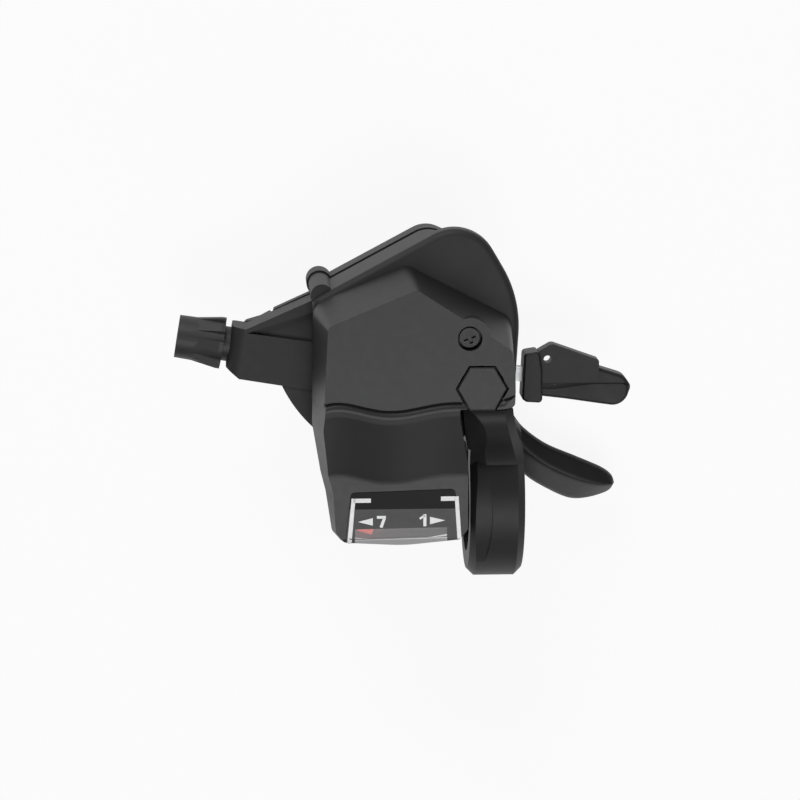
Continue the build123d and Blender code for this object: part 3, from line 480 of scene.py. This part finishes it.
def label_lens(name):
    """Clear moulding with the label's ground on it: a black band, a grey field and a smoky window that shows
    the needle as far as its lip, with a painted highlight in a thin band along the lip. Each field is bounded
    by straight lines in the part's own plan."""
    material, tree, surface = shader(name)
    place = part_place(tree)
    axes = tree.nodes.new("ShaderNodeSeparateXYZ")
    tree.links.new(place, axes.inputs["Vector"])
    x, y = axes.outputs["X"], axes.outputs["Y"]
    in_band = math_node(tree, "GREATER_THAN", y, BAND_LOW_Y * MM)
    past_left = math_node(tree, "GREATER_THAN", x, WINDOW_LEFT_X * MM)
    before_right = math_node(tree, "LESS_THAN", x, WINDOW_RIGHT_X * MM)
    in_window = math_node(tree, "LESS_THAN", y, line_across(tree, x, WINDOW_TOP))
    in_window = math_node(tree, "MULTIPLY", in_window, past_left)
    in_window = math_node(tree, "MULTIPLY", in_window, before_right)
    lip = line_across(tree, x, WINDOW_LIP)
    past_lip = math_node(tree, "LESS_THAN", y, lip)
    from_lip = math_node(tree, "ABSOLUTE", math_node(tree, "SUBTRACT", y, lip))
    # Painted highlight in a thin band along the lip
    on_lip_highlight = math_node(tree, "LESS_THAN", from_lip, LIP_HIGHLIGHT_WIDTH / 2 * MM)
    field = blend_colour(tree, spread(tree, noise(tree, place, FIELD_SIZE)), FIELD_DARK, FIELD_LIGHT)
    ground = blend_colour(tree, in_band, field, BAND_BLACK)
    smoke = blend_colour(tree, past_lip, WINDOW_SMOKE, SMOKE_PAST_LIP)
    smoke = blend_colour(tree, on_lip_highlight, smoke, LIP_PAINTED_HIGHLIGHT)
    tree.links.new(blend_colour(tree, in_window, ground, smoke), surface.inputs["Base Color"])
    clear = math_node(tree, "MULTIPLY", in_window, WINDOW_CLEAR)
    clear = math_node(tree, "MULTIPLY", clear, math_node(tree, "SUBTRACT", 1.0, past_lip))
    tree.links.new(math_node(tree, "SUBTRACT", 1.0, clear), surface.inputs["Alpha"])
    surface.inputs["Roughness"].default_value = LENS_ROUGHNESS
    surface.inputs["Specular IOR Level"].default_value = LENS_SHEEN
    return material


def pale_floor(name):
    """Pale matte sheet that the camera, mirrors and glass see as nearly white. The share of its own shade
    that is left there keeps the part's shadow."""
    material, tree, surface = shader(name)
    surface.inputs["Base Color"].default_value = (FLOOR_SHADE, FLOOR_SHADE, FLOOR_SHADE, 1.0)
    surface.inputs["Roughness"].default_value = FLOOR_ROUGHNESS
    surface.inputs["Specular IOR Level"].default_value = 0.0
    rays = tree.nodes.new("ShaderNodeLightPath")
    seen = math_node(tree, "MAXIMUM", rays.outputs["Is Camera Ray"], rays.outputs["Is Glossy Ray"])
    seen = math_node(tree, "MAXIMUM", seen, rays.outputs["Is Transmission Ray"])
    share = math_node(tree, "MULTIPLY", seen, GLOW_SHARE)
    glow = tree.nodes.new("ShaderNodeEmission")
    glow.inputs["Strength"].default_value = 1.0
    mixed = tree.nodes.new("ShaderNodeMixShader")
    for socket, source in zip(mixed.inputs, (share, surface.outputs["BSDF"], glow.outputs["Emission"])):
        tree.links.new(source, socket)
    tree.links.new(mixed.outputs["Shader"], tree.nodes["Material Output"].inputs["Surface"])
    return material


# Plastics: shade, roughness, size of the grain, strength of the grain and sheen
housing_black = moulded("housing black", (0.02, 0.02, 0.0205), 0.58, 0.22, 0.1, 0.3)
cover_black = moulded("cover black", (0.015, 0.015, 0.0155), 0.45, 0.18, 0.1, 0.4)
clamp_black = moulded("clamp black", (0.012, 0.012, 0.0125), 0.5, 0.25, 0.08, 0.3)
lever_black = moulded("lever black", (0.012, 0.012, 0.0125), 0.5, 0.25, 0.08, 0.3)
knob_black = moulded("knob black", (0.022, 0.022, 0.0225), 0.5, 0.2, 0.1, 0.4)
black_coat = moulded("black coat", (0.03, 0.03, 0.031), 0.35, 0.3, 0.08, 0.4)
drum_grey = moulded("drum grey", (0.3, 0.31, 0.32), 0.4, 0.3, 0.1, 0.4)
sight_grey = moulded("sight grey", (0.5, 0.5, 0.51), 0.4, 0.5, 0.3, 0.4)
needle_red = moulded("needle red", (1.0, 0.2, 0.16), 0.45, 0.4, 0.05, 0.4)
# The needle's red carries a painted glow
needle_red = with_painted_glow(needle_red, NEEDLE_PAINTED_GLOW, NEEDLE_PAINTED_GLOW_STRENGTH)

# Metals: shade, roughness and the stretch of the drawn lines along x, y and z
bright_zinc = metal("bright zinc", (0.72, 0.73, 0.74), 0.52, (0.2, 1.0, 1.0))
drawn_wire = metal("drawn wire", (0.5, 0.5, 0.5), 0.38, (1.0, 1.0, 0.3))
black_oxide = metal("black oxide", (0.06, 0.06, 0.065), 0.42, (1.0, 1.0, 0.4))
dark_steel = metal("dark steel", (0.03, 0.03, 0.031), 0.35, (1.0, 1.0, 0.4))

# Lens and print
lens_label = label_lens("lens and label")
white_ink = plain_print("white ink", (0.86, 0.86, 0.86))

# Finish of each solid
finishes = [
    (cover_black, ["top_cover", "hex_plug"]),
    (housing_black, ["base_housing", "lower_cover"]),
    (lens_label, ["display_lens"]),
    (clamp_black, ["clamp_band"]),
    (lever_black, ["main_lever_paddle", "release_lever_paddle"]),
    (black_coat, ["main_lever_arm"]),
    (knob_black, ["adjuster_knob", "click_sleeve"]),
    (drum_grey, ["cable_drum", "lever_spacer"]),
    (needle_red, ["indicator_needle"]),
    (dark_steel, ["cover_screw"]),
    (black_oxide, ["clamp_bolt", "lower_cover_screws"]),
    (drawn_wire, ["drum_return_spring", "hold_pawl_spring", "drive_pawl_spring", "main_lever_spring",
                  "release_lever_spring"]),
    (bright_zinc, ["clamp_nut", "main_axle", "axle_nut", "shaft_washers", "ratchet_plate", "hold_pawl",
                   "hold_pawl_pin", "drive_plate", "drive_pawl", "drive_pawl_pin", "release_lever_arm",
                   "adjuster_screw"]),
]
for finish, names in finishes:
    for name in names:
        nodes[name].data.materials.clear()
        nodes[name].data.materials.append(finish)

# Pieces that the scene adds
marks = [
    ("label_border", BORDER_LINES),
    ("seven", SEVEN_LINES),
    ("one", ONE_LINES),
    ("gear_arrows", ARROW_LINES),
]
for name, lines in marks:
    thin_piece(name, *printed(lines), "housing", white_ink, PRINT_DEPTH)

thin_piece("sight_floor", *sight_floor(), "housing", sight_grey, SIGHT_DEPTH)

thumb_paddle = piece("thumb_paddle", *paddle_form(), "main_lever", lever_black)
thumb_paddle.data.shade_smooth()
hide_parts("main_lever_paddle")

thumb_ledge = piece("thumb_ledge", *ledge_form(), "release_lever", lever_black)
thumb_ledge.data.shade_smooth()

# Stage: a pale floor under the part
floor_z = cad_low.z - FLOOR_GAP * MM
reach = FLOOR_HALF * MM
corners = [(x, y, floor_z) for x, y in ((-reach, -reach), (reach, -reach), (reach, reach), (-reach, reach))]
floor = mesh_object("floor", corners, [(0, 1, 2, 3)], pale_floor("pale floor"))


# Light
def metres(place):
    """Place in millimetres as a vector in metres."""
    return Vector([part * MM for part in place])


def soft_box(name, place, width, power):
    """Square soft light at a place, facing the part."""
    lamp = bpy.data.lights.new(name, "AREA")
    lamp.size = width * MM
    lamp.energy = power
    made = bpy.data.objects.new(name, lamp)
    made.location = metres(place)
    made.rotation_mode = "QUATERNION"
    made.rotation_quaternion = (metres(LAMP_AIM) - metres(place)).to_track_quat("-Z", "Y")
    bpy.context.scene.collection.objects.link(made)


for lamp in LAMPS:
    soft_box(*lamp)

world = bpy.data.worlds.new("studio")
world.use_nodes = True
sky = world.node_tree.nodes["Background"]
sky.inputs["Color"].default_value = (1.0, 1.0, 1.0, 1.0)
sky.inputs["Strength"].default_value = WORLD_STRENGTH
bpy.context.scene.world = world

# Camera
towards = Vector((-np.tan(np.radians(LEAN_SIDE)), np.tan(np.radians(LEAN_FRONT)), 1.0)).normalized()
upwards = (Vector((0, 1, 0)) - towards.y * towards).normalized()
sideways = upwards.cross(towards)
turn = Matrix((sideways, upwards, towards)).transposed()
spot = metres(CAMERA_TARGET) + towards * (CAMERA_DISTANCE * MM)
lens = bpy.data.cameras.new("camera")
lens.sensor_width = SENSOR_WIDTH
lens.lens = SENSOR_WIDTH * CAMERA_DISTANCE / VIEW_WIDTH
camera = bpy.data.objects.new("camera", lens)
camera.matrix_world = Matrix.Translation(spot) @ turn.to_4x4()
bpy.context.scene.collection.objects.link(camera)
bpy.context.scene.camera = camera
bpy.context.scene.view_settings.view_transform = "Standard"
